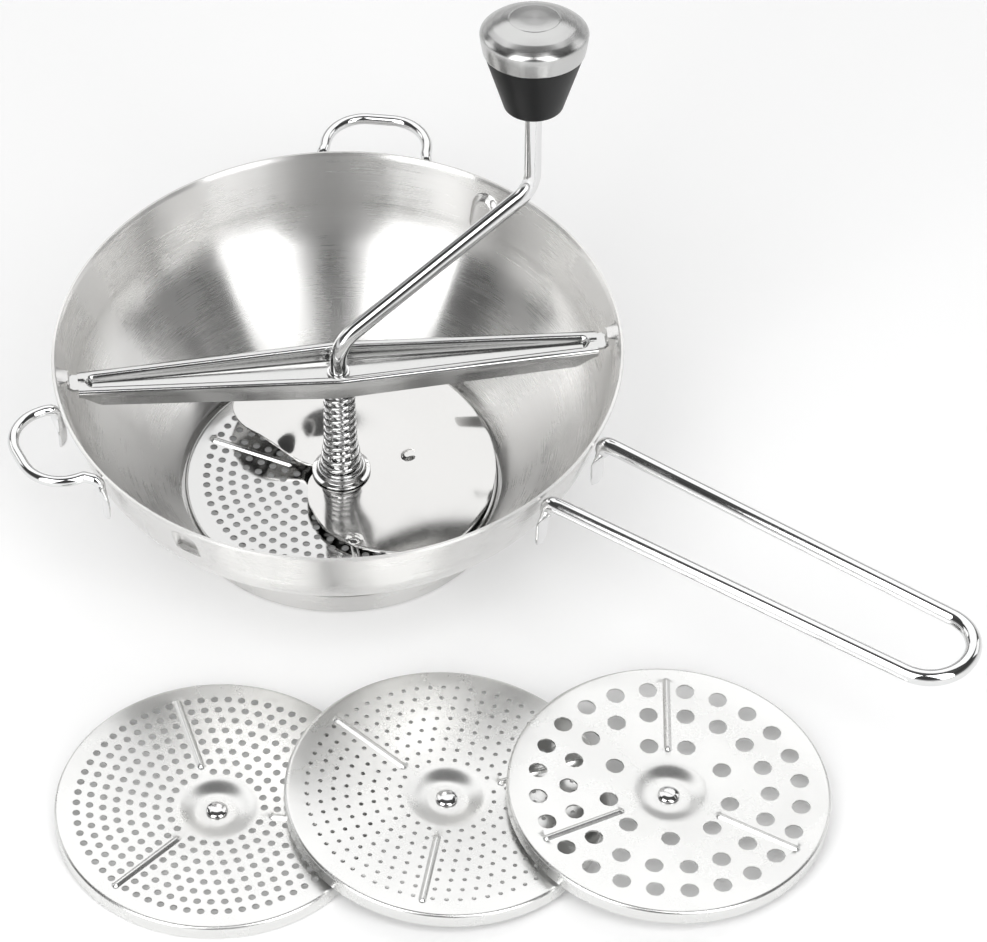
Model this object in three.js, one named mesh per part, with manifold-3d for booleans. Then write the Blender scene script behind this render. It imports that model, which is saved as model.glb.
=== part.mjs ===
// Hand-cranked food mill with three spare sieve discs, as separate solids.
// Millimetres, +Z up. The bowl's axis is the local origin while the parts are
// placed; the finished group is moved so that its box stands centred on z = 0.
import * as THREE from 'three';
import { mergeVertices } from 'three/addons/utils/BufferGeometryUtils.js';
import Module from 'manifold-3d';

const wasm = await Module();
wasm.setup();

// ---- driving dimensions -------------------------------------------------
const SHEET = 0.9;                 // steel sheet of the bowl and the discs
const GAP = 0.3;                   // clearance between touching pieces

const RIM = { r: 120, z: 86 };     // bowl mouth
const FLANK_ANGLE = 16.5;          // upper wall, degrees from vertical
const CONE_ANGLE = 46.5;           // lower wall, degrees from horizontal
const BEND = { r: 109.4, z: 52.5, tangent: 8.4 };  // where the two walls meet
const CHAMBER = { r: 69.2, top: 11.5, seat_z: 2, seat_r: 63.5 };
const FOOT = { r: 70.75, height: 9.5, lip_r: 64 };

const LUG = { angle: 57, width: 13, top: 80, bottom: 65, depth: 2.6 };
const BAR_ANGLE = 5.6;             // crossbar direction about the bowl's axis
const HOOK = { width: 13, top: 84.6, bottom: 80.8, depth: 4.2 };

const BAR = {
  top: 79, half: 109.6, mid_w: 12.7, end_w: 6.4, sheet: 1.2,
  flange: 9.4, end_flange: 8.2, strip: 3.2, depth: 6.6, pocket: 105, tongue_r: 115.6, tongue_w: 4.4,
};

const DISC = {
  r: 67, top: 9, skirt: 6.2, flat_r: 60, dish_r: 18, dish: 2.3,
  well_r: 8.5, well: 4.3, stud_r: 4.5,
  rib_in: 23, rib_out: 60, rib_w: 3.2, rib_h: 1.1,
};

const ROD_R = 3.6;                 // crank rod
const CRANK = { angle: 25, low_bend: 89, reach: 91, high_bend: 142.3, upright: 39 };
const KNOB_LEAN = 11.3;            // the upright leans away to the back, degrees
const KNOB_SIDE = 0.85;            // and a hair to the right
const KNOB = { low_r: 12.5, high_r: 20.8, grip_h: 27.7, band_r: 22.8, band_h: 9.4, dome_h: 7 };

const BLADE = { r: 66, low: 11.2, sheet: 1.2, rise: 8.6, flat_r: 13 };
const HUB = { r: 5.8, low: 5.4, top: 20, socket: 7.6, rod: 9 };
const SPRING = { wire_r: 0.9, top_r: 5.7, low_r: 7.9, turns: 11 };

const HANDLE = { angle: -34.8, wire_r: 3.5, near: 20.4, far: 17.8, reach: 311, start: 120.6 };
const LOOP = { wire_r: 2.4, half: 23, reach: 143.6, corner: 16, start: 119 };
const TAB = { thick: 2, drop: 3.5, handle_x: 118.3, loop_x: 117.6 };

const LOOSE = [
  { name: 'disc_medium', x: -50.3, y: -182.5, lift: 0, tilt: 0, turn: -13 },
  { name: 'disc_fine', x: 44.5, y: -181.8, lift: 5.2, tilt: 3.7, turn: 20 },
  { name: 'disc_coarse', x: 135.8, y: -182.2, lift: 6.4, tilt: 4.5, turn: -30 },
];

// ---- materials ----------------------------------------------------------
const steel = (color, roughness) => new THREE.MeshStandardMaterial({
  color, roughness, metalness: 1,
});
const BRUSHED = steel(0xc9cac8, 0.34);
const POLISHED = steel(0xd9dadb, 0.12);
const PRESSED = steel(0xcfd0cf, 0.22);
const BLACK = new THREE.MeshStandardMaterial({ color: 0x1b1c1d, roughness: 0.45, metalness: 0 });

// ---- geometry helpers ---------------------------------------------------
const rad = THREE.MathUtils.degToRad;
const polar = (r, degrees) => [r * Math.cos(rad(degrees)), r * Math.sin(rad(degrees))];

// Six times the signed volume: positive when the faces point out.
function signedVolume(geometry) {
  const p = geometry.attributes.position;
  const index = geometry.index.array;
  const corner = (k) => new THREE.Vector3().fromBufferAttribute(p, index[k]);
  let sum = 0;
  for (let i = 0; i < index.length; i += 3) {
    sum += corner(i).dot(corner(i + 1).cross(corner(i + 2)));
  }
  return sum;
}

// Shared vertices, positions only, faces outward.
function welded(source) {
  const geometry = source.clone();
  geometry.deleteAttribute('normal');
  geometry.deleteAttribute('uv');
  const result = mergeVertices(geometry, 1e-4);
  if (signedVolume(result) < 0) {
    const index = result.index.array;
    for (let i = 0; i < index.length; i += 3) {
      [index[i], index[i + 1]] = [index[i + 1], index[i]];
    }
  }
  return result;
}

function manifold(source) {
  const geometry = welded(source);
  return new wasm.Manifold(new wasm.Mesh({
    numProp: 3,
    vertProperties: new Float32Array(geometry.attributes.position.array),
    triVerts: new Uint32Array(geometry.index.array),
  }));
}

function fromManifold(body) {
  const mesh = body.getMesh();
  const geometry = new THREE.BufferGeometry();
  geometry.setAttribute('position', new THREE.BufferAttribute(new Float32Array(mesh.vertProperties), 3));
  geometry.setIndex(new THREE.BufferAttribute(new Uint32Array(mesh.triVerts), 1));
  geometry.computeVertexNormals();
  return geometry;
}

const join = (...parts) => fromManifold(parts.map(manifold).reduce((a, b) => a.add(b)));
const cut = (body, ...tools) => fromManifold(
  tools.map(manifold).reduce((a, b) => a.subtract(b), manifold(body)));

// A turned solid about Z from a closed outline of [radius, height] points.
function turned(outline, segments) {
  const points = [...outline, outline[0]].map(([r, z]) => new THREE.Vector2(r, z));
  return welded(new THREE.LatheGeometry(points, segments).rotateX(Math.PI / 2));
}

// A turned solid whose outline starts and ends on the axis.
function turnedSolid(outline, segments) {
  const points = outline.map(([r, z]) => new THREE.Vector2(r, z));
  return welded(new THREE.LatheGeometry(points, segments).rotateX(Math.PI / 2));
}

const cylinder = (r, low, high, segments = 24) =>
  new THREE.CylinderGeometry(r, r, high - low, segments).rotateX(Math.PI / 2)
    .translate(0, 0, (low + high) / 2);

// Moves every point of a line of [a, b] points sideways, mitred at the bends.
function offsetLine(line, distance) {
  return line.map((point, i) => {
    const before = line[Math.max(i - 1, 0)];
    const here = line[Math.min(i + 1, line.length - 1)];
    const normals = [[before, point], [point, here]]
      .map(([p, q]) => new THREE.Vector2(q[1] - p[1], p[0] - q[0]))
      .filter((n) => n.length() > 1e-9)
      .map((n) => n.normalize());
    const sum = normals.reduce((a, b) => a.clone().add(b)).normalize();
    const scale = distance / Math.max(sum.dot(normals[0]), 0.5);
    return [point[0] + sum.x * scale, point[1] + sum.y * scale];
  });
}

// A sheet of even thickness turned about Z, from the line at its middle.
function turnedSheet(line, thickness, segments) {
  const outer = offsetLine(line, thickness / 2);
  const inner = offsetLine(line, -thickness / 2).reverse();
  return turned([...outer, ...inner], segments);
}

// A path of straight runs whose corners are arcs of the given radii.
function roundedPath(corners) {
  const path = new THREE.CurvePath();
  const at = corners.map(({ p }) => new THREE.Vector3(...p));
  let from = at[0];
  for (let i = 1; i < at.length - 1; i += 1) {
    const into = at[i].clone().sub(at[i - 1]).normalize();
    const out = at[i + 1].clone().sub(at[i]).normalize();
    const turn = into.angleTo(out);
    const reach = corners[i].radius * Math.tan(turn / 2);
    const pull = corners[i].radius * Math.tan(turn / 4) * 4 / 3;
    const start = at[i].clone().addScaledVector(into, -reach);
    const end = at[i].clone().addScaledVector(out, reach);
    if (from.distanceTo(start) > 1e-6) {
      path.add(new THREE.LineCurve3(from, start));
    }
    path.add(new THREE.CubicBezierCurve3(
      start, start.clone().addScaledVector(into, pull),
      end.clone().addScaledVector(out, -pull), end));
    from = end;
  }
  path.add(new THREE.LineCurve3(from, at[at.length - 1]));
  return path;
}

function ring(radius, sides) {
  const shape = new THREE.Shape();
  for (let i = 0; i < sides; i += 1) {
    const [x, y] = polar(radius, (360 * i) / sides);
    if (i === 0) {
      shape.moveTo(x, y);
    } else {
      shape.lineTo(x, y);
    }
  }
  shape.closePath();
  return shape;
}

const wire = (path, radius, steps, sides) => new THREE.ExtrudeGeometry(
  ring(radius, sides), { steps, extrudePath: path, bevelEnabled: false });

// A unit box whose u, v and w (0 to 1) are mapped to a point by place(u, v, w).
function mapped(nu, nv, place) {
  const geometry = new THREE.BoxGeometry(1, 1, 1, nu, nv, 1);
  const p = geometry.attributes.position;
  for (let i = 0; i < p.count; i += 1) {
    p.setXYZ(i, ...place(p.getX(i) + 0.5, p.getY(i) + 0.5, p.getZ(i) + 0.5));
  }
  return geometry;
}

function named(name, geometry, material) {
  const mesh = new THREE.Mesh(geometry, material);
  mesh.name = name;
  return mesh;
}

// ---- bowl ---------------------------------------------------------------
const wallRadius = (z) => RIM.r - 0.8 - (RIM.z - z) * Math.tan(rad(FLANK_ANGLE));

function bowlLine() {
  const flank = [Math.sin(rad(FLANK_ANGLE)), Math.cos(rad(FLANK_ANGLE))];
  const cone = [Math.cos(rad(CONE_ANGLE)), Math.sin(rad(CONE_ANGLE))];
  const bend = new THREE.QuadraticBezierCurve(
    new THREE.Vector2(BEND.r + flank[0] * BEND.tangent, BEND.z + flank[1] * BEND.tangent),
    new THREE.Vector2(BEND.r, BEND.z),
    new THREE.Vector2(BEND.r - cone[0] * BEND.tangent, BEND.z - cone[1] * BEND.tangent));
  const coneEnd = BEND.r - (BEND.z - CHAMBER.top) / Math.tan(rad(CONE_ANGLE));
  return [
    [RIM.r - 0.1, RIM.z - 0.4],
    [wallRadius(RIM.z - 2.2), RIM.z - 2.2],
    ...bend.getPoints(3).map((p) => [p.x, p.y]),
    [coneEnd, CHAMBER.top],
    [CHAMBER.r, CHAMBER.top - 1.6],
    [CHAMBER.r, CHAMBER.seat_z],
    [CHAMBER.seat_r, CHAMBER.seat_z],
  ];
}

// A D-shaped outline, flat edge down, across the wall at a given radius.
function lugBlock(lug, shrink, inner, outer) {
  const half = lug.width / 2 - shrink;
  const height = lug.top - lug.bottom;
  const round = Math.min(half, height - shrink);
  const shape = new THREE.Shape();
  shape.moveTo(-half, 0);
  shape.lineTo(half, 0);
  shape.lineTo(half, height - shrink - round);
  shape.absellipse(0, height - shrink - round, half, round, 0, Math.PI, false, 0);
  shape.lineTo(-half, 0);
  return new THREE.ExtrudeGeometry(shape, { depth: outer - inner, bevelEnabled: false, curveSegments: 5 })
    .rotateX(Math.PI / 2).rotateZ(Math.PI / 2).translate(inner, 0, lug.bottom);
}

function lugSolids(lug, angle) {
  const middle = wallRadius((lug.top + lug.bottom) / 2);
  const lean = (g) => g.rotateZ(rad(angle));
  const bump = lugBlock(lug, 0, middle - lug.depth, middle);
  const pocket = lugBlock(lug, SHEET, middle - lug.depth + SHEET, middle + 6).translate(0, 0, -SHEET);
  return { bump: lean(bump), pocket: lean(pocket) };
}

function makeBowl() {
  const sheet = turnedSheet(bowlLine(), SHEET, 48);
  const lugs = [
    [LUG, LUG.angle], [LUG, LUG.angle + 180], [HOOK, BAR_ANGLE], [HOOK, BAR_ANGLE + 180],
  ].map(([lug, angle]) => lugSolids(lug, angle));
  return cut(join(sheet, ...lugs.map((l) => l.bump)), ...lugs.map((l) => l.pocket));
}

function makeBaseRing() {
  const inside = FOOT.r - 0.8;
  return turned([
    [FOOT.lip_r, 0], [FOOT.r, 0], [FOOT.r, FOOT.height], [inside, FOOT.height],
    [inside, 0.8], [FOOT.lip_r, 0.8],
  ], 48);
}

// ---- wire handles -------------------------------------------------------
function tab(width, bottom, x, side) {
  const top = RIM.z - TAB.drop - 5;
  const half = width / 2;
  const shape = new THREE.Shape();
  shape.moveTo(half, top);
  shape.lineTo(-half, top);
  shape.lineTo(-half, bottom + half);
  shape.absarc(0, bottom + half, half, Math.PI, 2 * Math.PI, false);
  shape.lineTo(half, top);
  return new THREE.ExtrudeGeometry(shape, { depth: TAB.thick, bevelEnabled: false, curveSegments: 4 })
    .rotateX(Math.PI / 2).rotateZ(Math.PI / 2).translate(x - TAB.thick / 2, side, 0);
}

function makeLongHandle() {
  const level = RIM.z - TAB.drop;
  const low = level - 8;
  const path = roundedPath([
    { p: [HANDLE.start, HANDLE.near, low] },
    { p: [HANDLE.start, HANDLE.near, level], radius: 4.5 },
    { p: [HANDLE.reach, HANDLE.far, level], radius: HANDLE.far - 0.2 },
    { p: [HANDLE.reach, -HANDLE.far, level], radius: HANDLE.far - 0.2 },
    { p: [HANDLE.start, -HANDLE.near, level], radius: 4.5 },
    { p: [HANDLE.start, -HANDLE.near, low] },
  ]);
  const bottom = RIM.z - 28.5;
  return join(
    wire(path, HANDLE.wire_r, 56, 8),
    tab(9.2, bottom, TAB.handle_x, HANDLE.near - 1.2),
    tab(9.2, bottom, TAB.handle_x, -HANDLE.near - 1.8));
}

// The loop's left arm is set in by the given amount beyond a short neck.
function makeLoop(inset, lean) {
  const level = RIM.z - TAB.drop;
  const low = level - 7;
  const neck = LOOP.start + 5;
  const path = roundedPath([
    { p: [LOOP.start, LOOP.half, low] },
    { p: [LOOP.start, LOOP.half, level], radius: 3.2 },
    { p: [neck, LOOP.half - inset, level], radius: 2.5 },
    { p: [LOOP.reach, LOOP.half - inset, level], radius: LOOP.corner },
    { p: [LOOP.reach, -LOOP.half - lean, level], radius: LOOP.corner },
    { p: [neck, -LOOP.half - lean, level], radius: 2.5 },
    { p: [LOOP.start, -LOOP.half, level], radius: 3.2 },
    { p: [LOOP.start, -LOOP.half, low] },
  ]);
  const bottom = RIM.z - 24;
  const pull = Math.min(2.4, inset);
  return join(
    wire(path, LOOP.wire_r, 40, 6),
    tab(6.8, bottom, TAB.loop_x, LOOP.half + pull), tab(6.8, bottom, TAB.loop_x, -LOOP.half + pull));
}

// ---- crossbar -----------------------------------------------------------
const barWidth = (x) => THREE.MathUtils.lerp(BAR.mid_w, BAR.end_w, Math.abs(x) / BAR.half);

// Section of the pressed bar at x: flange, top strip, pocket floor, strip, flange.
function barSection(x) {
  const w = barWidth(x) - BAR.sheet / 2;
  const end = THREE.MathUtils.smoothstep(Math.abs(x), BAR.pocket - 4, BAR.pocket + 1.5);
  const depth = BAR.depth * (1 - end);
  const tip = THREE.MathUtils.smoothstep(Math.abs(x), 98, BAR.half);
  const flange = THREE.MathUtils.lerp(BAR.flange, BAR.end_flange, Math.abs(x) / BAR.half) - 4.5 * tip;
  const inner = w - BAR.strip + 0.6;
  const half = [[w, -flange], [w, -BAR.sheet / 2], [inner, -BAR.sheet / 2],
    [inner - 0.9, -BAR.sheet / 2 - depth]];
  const floor = [0, -BAR.sheet / 2 - depth];
  return [...half, floor, ...half.map(([y, z]) => [-y, z]).reverse()];
}

function makeCrossbar() {
  const stations = [-1, -0.96, -0.935, -0.91, -0.88, -0.5, 0, 0.5, 0.88, 0.91, 0.935, 0.96, 1];
  const sheet = mapped(stations.length - 1, 8, (u, v, w) => {
    const x = stations[Math.round(u * (stations.length - 1))] * BAR.half;
    const line = offsetLine(barSection(x), (0.5 - w) * BAR.sheet);
    const [y, z] = line[Math.round(v * 8)];
    return [x, y, BAR.top + z];
  });
  const tongue = (side) => new THREE.BoxGeometry(BAR.tongue_r - BAR.half + 2, 2 * BAR.tongue_w, BAR.sheet)
    .translate(side * (BAR.tongue_r + BAR.half - 2) / 2, 0, BAR.top - BAR.sheet / 2 + 0.4);
  const hole = cylinder(ROD_R + 0.75 + GAP, BAR.top - 14, BAR.top + 2, 20);
  return cut(join(sheet, tongue(1), tongue(-1)), hole);
}

const BAR_FLOOR = BAR.top - BAR.depth - BAR.sheet;     // underside of the pocket

function makeEyelet() {
  const bore = ROD_R + 0.1;
  const low = BAR_FLOOR - 0.9;
  const high = BAR_FLOOR + BAR.sheet + GAP;
  return turned([
    [bore, low], [5.4, low], [5.4, BAR_FLOOR - GAP], [bore + 0.65, BAR_FLOOR - GAP],
    [bore + 0.65, high], [4.9, high], [4.9, high + 0.9], [bore, high + 0.9],
  ], 20);
}

// ---- spring and its washers ---------------------------------------------
const SPRING_TOP = BAR_FLOOR - 0.9 - GAP - 1.1 - GAP;
const SEAT = { z: BLADE.low + BLADE.sheet + 0.5, sheet: 1.2, lip: 3.2 };
const SPRING_LOW = SEAT.z + SEAT.sheet + GAP;

function makeSpring() {
  const low = SPRING_LOW + SPRING.wire_r;
  const high = SPRING_TOP - SPRING.wire_r;
  class Helix extends THREE.Curve {
    getPoint(t, target = new THREE.Vector3()) {
      const r = THREE.MathUtils.lerp(SPRING.low_r, SPRING.top_r, t);
      const a = 2 * Math.PI * SPRING.turns * t;
      return target.set(r * Math.cos(a), r * Math.sin(a), THREE.MathUtils.lerp(low, high, t));
    }
  }
  return wire(new Helix(), SPRING.wire_r, SPRING.turns * 9, 4);
}

const makeTopWasher = () => turned([
  [ROD_R + 0.5, SPRING_TOP + GAP], [8, SPRING_TOP + GAP],
  [8, SPRING_TOP + GAP + 1.1], [ROD_R + 0.5, SPRING_TOP + GAP + 1.1],
], 20);

function makeSeat() {
  const bore = HUB.r + GAP;
  return turned([
    [bore, SEAT.z], [12.5, SEAT.z], [12.5, SEAT.z + 0.9], [10.1, SEAT.z + SEAT.sheet],
    [10.1, SEAT.z + SEAT.lip], [9.3, SEAT.z + SEAT.lip], [9.3, SEAT.z + SEAT.sheet],
    [bore, SEAT.z + SEAT.sheet],
  ], 24);
}

// ---- blade --------------------------------------------------------------
// The blade's edge as radius against angle: [degrees, radius] from the
// trailing edge, which sweeps out from the hub, round to the raised corner.
const BLADE_EDGE = [
  [-170, 12.5], [-140, 18.5], [-115, 27], [-95, 37.5], [-75, 47.5], [-58, 58], [-46, BLADE.r],
  [-20, BLADE.r], [10, BLADE.r], [40, BLADE.r], [70, BLADE.r], [100, BLADE.r], [120, BLADE.r],
  [134, 62.5], [146, 57], [154, 49], [159, 40], [164, 14],
];

function bladeHeight(degrees, r) {
  const climb = THREE.MathUtils.clamp((degrees + 75) / 235, 0, 1);
  const reach = THREE.MathUtils.smoothstep(r, BLADE.flat_r, 40);
  return BLADE.low + BLADE.rise * climb * reach;
}

function makeBlade() {
  const bands = BLADE_EDGE.length - 1;
  return welded(mapped(bands, 4, (u, v, w) => {
    const [degrees, edge] = BLADE_EDGE[Math.round(u * bands)];
    const flat = Math.min(BLADE.flat_r, edge - 0.5);
    const r = v < 0.26
      ? THREE.MathUtils.lerp(HUB.r + GAP, flat, v * 4)
      : THREE.MathUtils.lerp(flat, edge, (v - 0.25) / 0.75);
    const [x, y] = polar(r, degrees);
    return [x, y, bladeHeight(degrees, r) + BLADE.sheet * w];
  }));
}

function makeHub() {
  const socket = DISC.stud_r + 0.4;
  return cut(
    cylinder(HUB.r, HUB.low, HUB.top, 24),
    cylinder(socket, HUB.low - 1, HUB.socket, 20),
    cylinder(ROD_R + GAP, HUB.rod, HUB.top + 1, 20),
    cylinder(1.5, HUB.socket - 1, HUB.rod + 1, 10));
}

// ---- crank and knob -----------------------------------------------------
const upright = new THREE.Vector3(Math.sin(rad(KNOB_SIDE)), Math.sin(rad(KNOB_LEAN)), 0);
upright.z = Math.sqrt(1 - upright.x ** 2 - upright.y ** 2);
const [ELBOW_X, ELBOW_Y] = polar(CRANK.reach, CRANK.angle);
const elbow = new THREE.Vector3(ELBOW_X, ELBOW_Y, CRANK.high_bend);
const knobBase = elbow.clone().addScaledVector(upright, CRANK.upright);
const ROD_IN_KNOB = 30;

function makeCrankRod() {
  const end = knobBase.clone().addScaledVector(upright, ROD_IN_KNOB);
  const path = roundedPath([
    { p: [0, 0, HUB.rod + GAP] },
    { p: [0, 0, CRANK.low_bend], radius: 17 },
    { p: elbow.toArray(), radius: 15 },
    { p: end.toArray() },
  ]);
  return wire(path, ROD_R, 44, 8);
}

// The knob's pieces are turned about their own axis from its lower face.
const grip = { ...KNOB, bore: 6 };

const makeGrip = () => turned([
  [grip.bore, 0], [KNOB.low_r - 2, 0], [KNOB.low_r - 0.3, 1.6], [KNOB.high_r, KNOB.grip_h],
  [KNOB.high_r - 1, KNOB.grip_h], [KNOB.high_r - 1.3, KNOB.grip_h + 4],
  [grip.bore, KNOB.grip_h + 4],
], 24);

const makeSleeve = () => turned([
  [ROD_R + 0.1, 0.4], [grip.bore - GAP, 0.4], [grip.bore - GAP, 27], [ROD_R + 0.1, 27],
], 20);

const makeRetainer = () => turnedSolid([
  [0, ROD_IN_KNOB + GAP], [5, ROD_IN_KNOB + GAP], [5, ROD_IN_KNOB + 1.3], [0, ROD_IN_KNOB + 1.3],
], 16);

function makeCap() {
  const low = KNOB.grip_h + GAP;
  const high = low + KNOB.band_h;
  const t = 0.9;
  const r = KNOB.band_r;
  return turnedSolid([
    [0, high + KNOB.dome_h], [10.7, high + KNOB.dome_h - 0.3], [17.5, high + 4.2],
    [r, high], [r - 1.6, low], [r - 1.6 - t, low], [r - t, high - 0.6],
    [17, high + 3.2], [10.4, high + KNOB.dome_h - 1.3], [0, high + KNOB.dome_h - 1],
  ], 24);
}

// ---- sieve discs --------------------------------------------------------
// Profile of a disc's sheet from its centre hole out to the skirt's lower edge,
// measured from the upper face of the rim: a shallow dish with a well in the middle.
function discLine() {
  const mid = -SHEET / 2;
  const edge = DISC.r - SHEET / 2;
  return [
    [2.9, mid - DISC.well], [DISC.well_r, mid - DISC.well], [DISC.dish_r - 2, mid - DISC.dish],
    [DISC.flat_r, mid], [edge - 1.2, mid], [edge, mid - 1.2], [edge, -DISC.skirt],
  ];
}

// A straight rib from the dish's bottom up to the rim, following the slope.
function rib(angle) {
  const drop = (r) => DISC.dish * (DISC.flat_r - r) / (DISC.flat_r - DISC.dish_r + 2);
  return welded(mapped(1, 1, (u, v, w) => {
    const r = THREE.MathUtils.lerp(DISC.rib_in, DISC.rib_out, u);
    const half = DISC.rib_w * (w > 0.5 ? 0.2 : 0.5);
    return [r, half * (2 * v - 1), (w > 0.5 ? DISC.rib_h : -SHEET / 2) - drop(r)];
  }).rotateZ(rad(angle)));
}

// Rings of large holes, kept off the three ribs: [radius, holes per third].
const COARSE_RINGS = [[54.5, 8], [41.5, 6], [25.5, 3]];
const COARSE_HOLE_R = 3.9;
const RIB_MARGIN = 7.7;

function coarseHoles() {
  const holes = [];
  for (const [radius, count] of COARSE_RINGS) {
    const margin = THREE.MathUtils.radToDeg(Math.asin(RIB_MARGIN / radius));
    for (let third = 0; third < 3; third += 1) {
      for (let i = 0; i < count; i += 1) {
        const angle = 120 * third + THREE.MathUtils.lerp(margin, 120 - margin, i / (count - 1));
        const [x, y] = polar(radius, angle);
        holes.push(cylinder(COARSE_HOLE_R, -6, 3, 6).translate(x, y, 0));
      }
    }
  }
  return holes;
}

function makeDisc(holes) {
  const plate = turnedSheet(discLine(), SHEET, 32);
  const body = join(plate, rib(0), rib(120), rib(240));
  return holes.length ? cut(body, ...holes) : body;
}

const makeStud = () => turnedSolid([
  [0, 2.1 - DISC.well], [2.6, 1.8 - DISC.well], [DISC.stud_r, 1 - DISC.well],
  [DISC.stud_r, GAP - DISC.well], [2, GAP - DISC.well], [2, -SHEET - GAP - DISC.well],
  [3.6, -SHEET - GAP - DISC.well], [3.6, -SHEET - 0.8 - DISC.well], [0, -SHEET - 0.8 - DISC.well],
], 12);

// A disc and its centre stud, with the plate's upper face at the given height.
function addDisc(group, name, height, turn, holes) {
  const holder = new THREE.Group();
  holder.add(named(name, makeDisc(holes), PRESSED));
  holder.add(named(`${name}_stud`, makeStud(), POLISHED));
  holder.rotation.z = rad(turn);
  const place = new THREE.Group();
  place.position.z = height;
  place.add(holder);
  group.add(place);
  return place;
}

// ---- assembly -----------------------------------------------------------
const group = new THREE.Group();
group.add(named('bowl', makeBowl(), BRUSHED));
group.add(named('base_ring', makeBaseRing(), BRUSHED));

for (const [name, geometry, angle] of [
  ['long_handle', makeLongHandle(), HANDLE.angle],
  ['left_loop', makeLoop(6, 1), -155],
  ['back_loop', makeLoop(1, -1), 82.9],
]) {
  const handle = named(name, geometry, POLISHED);
  handle.rotation.z = rad(angle);
  group.add(handle);
}

const bar = named('crossbar', makeCrossbar(), PRESSED);
bar.rotation.z = rad(BAR_ANGLE);
group.add(bar);
group.add(named('crossbar_eyelet', makeEyelet(), POLISHED));
group.add(named('spring_top_washer', makeTopWasher(), POLISHED));
group.add(named('pressure_spring', makeSpring(), POLISHED));
group.add(named('spring_seat', makeSeat(), POLISHED));
group.add(named('blade', makeBlade(), POLISHED));
group.add(named('blade_hub', makeHub(), POLISHED));
group.add(named('crank_rod', makeCrankRod(), POLISHED));

const knob = new THREE.Group();
knob.position.copy(knobBase);
knob.quaternion.setFromUnitVectors(new THREE.Vector3(0, 0, 1), upright);
knob.add(named('knob_grip', makeGrip(), BLACK));
knob.add(named('knob_cap', makeCap(), BRUSHED));
knob.add(named('knob_sleeve', makeSleeve(), BLACK));
knob.add(named('knob_retainer', makeRetainer(), POLISHED));
group.add(knob);

addDisc(group, 'disc_fitted', DISC.top, 38, []);
for (const { name, x, y, lift, tilt, turn } of LOOSE) {
  const holes = name === 'disc_coarse' ? coarseHoles() : [];
  const place = addDisc(group, name, DISC.skirt + lift, turn, holes);
  place.position.x = x;
  place.position.y = y;
  place.rotation.y = rad(tilt);
}

group.updateMatrixWorld(true);
const box = new THREE.Box3().setFromObject(group, true);
group.position.set(-(box.min.x + box.max.x) / 2, -(box.min.y + box.max.y) / 2, -box.min.z);

export default group;
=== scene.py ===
"""Looks for the food mill: fine meshes, metal finishes, floor, light and camera.

Sizes are in millimetres about the bowl's own axis, with z from the floor. Most repeat
those of the CAD model. Some differ by up to 1.5 mm: the bar's pocket, strips, flanges
and tongues, the bowl's bend, the left loop, and the wires' corners and tabs. The floor
of the bar's pocket also rises towards the ends here, by up to 4.3 mm. The spring has
more turns here. The medium and fine holes, the blade's waves, crease and dents, and the
small roundings are only here. Meshes are built at that scale and written in metres.
"""

from math import asin, atan2, cos, hypot, pi, radians, sin, sqrt, tan

import bmesh
import bpy
from mathutils import Matrix, Vector
from mathutils.geometry import delaunay_2d_cdt


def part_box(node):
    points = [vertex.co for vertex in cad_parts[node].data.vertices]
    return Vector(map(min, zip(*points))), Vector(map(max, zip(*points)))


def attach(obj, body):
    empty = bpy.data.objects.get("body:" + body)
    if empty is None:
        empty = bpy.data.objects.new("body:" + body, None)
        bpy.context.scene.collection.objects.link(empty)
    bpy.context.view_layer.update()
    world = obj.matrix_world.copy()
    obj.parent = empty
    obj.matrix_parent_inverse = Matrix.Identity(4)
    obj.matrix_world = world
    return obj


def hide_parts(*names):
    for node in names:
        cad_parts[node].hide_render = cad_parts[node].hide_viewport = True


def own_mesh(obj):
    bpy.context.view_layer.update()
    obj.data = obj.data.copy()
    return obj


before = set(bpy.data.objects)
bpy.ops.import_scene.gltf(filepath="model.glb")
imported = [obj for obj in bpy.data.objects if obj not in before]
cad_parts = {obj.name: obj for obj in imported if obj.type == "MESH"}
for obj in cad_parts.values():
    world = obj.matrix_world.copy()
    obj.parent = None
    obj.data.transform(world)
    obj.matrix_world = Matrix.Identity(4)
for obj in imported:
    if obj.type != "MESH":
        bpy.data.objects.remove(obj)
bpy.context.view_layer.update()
MM = 0.001
ring_low, ring_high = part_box("base_ring")
AXIS = Vector(((ring_low[0] + ring_high[0]) / 2, (ring_low[1] + ring_high[1]) / 2, 0))

# ---- sizes -------------------------------------------------------------------
SHEET = 0.9
RIM_R, RIM_Z = 120, 86
FLANK_ANGLE, CONE_ANGLE = radians(16.5), radians(46.5)
BEAD = 0.8  # from the middle of the flank's sheet, carried up to the rim, to the rim's edge
BEND_R, BEND_Z, BEND_TANGENT = 109.4, 52.5, 9.5
CHAMBER_R, CHAMBER_TOP, SEAT_Z, SEAT_R = 69.2, 11.5, 2.0, 63.5
FOOT_R, FOOT_H, FOOT_LIP_R = 70.75, 9.5, 64
BAR_ANGLE = 5.6
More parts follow.
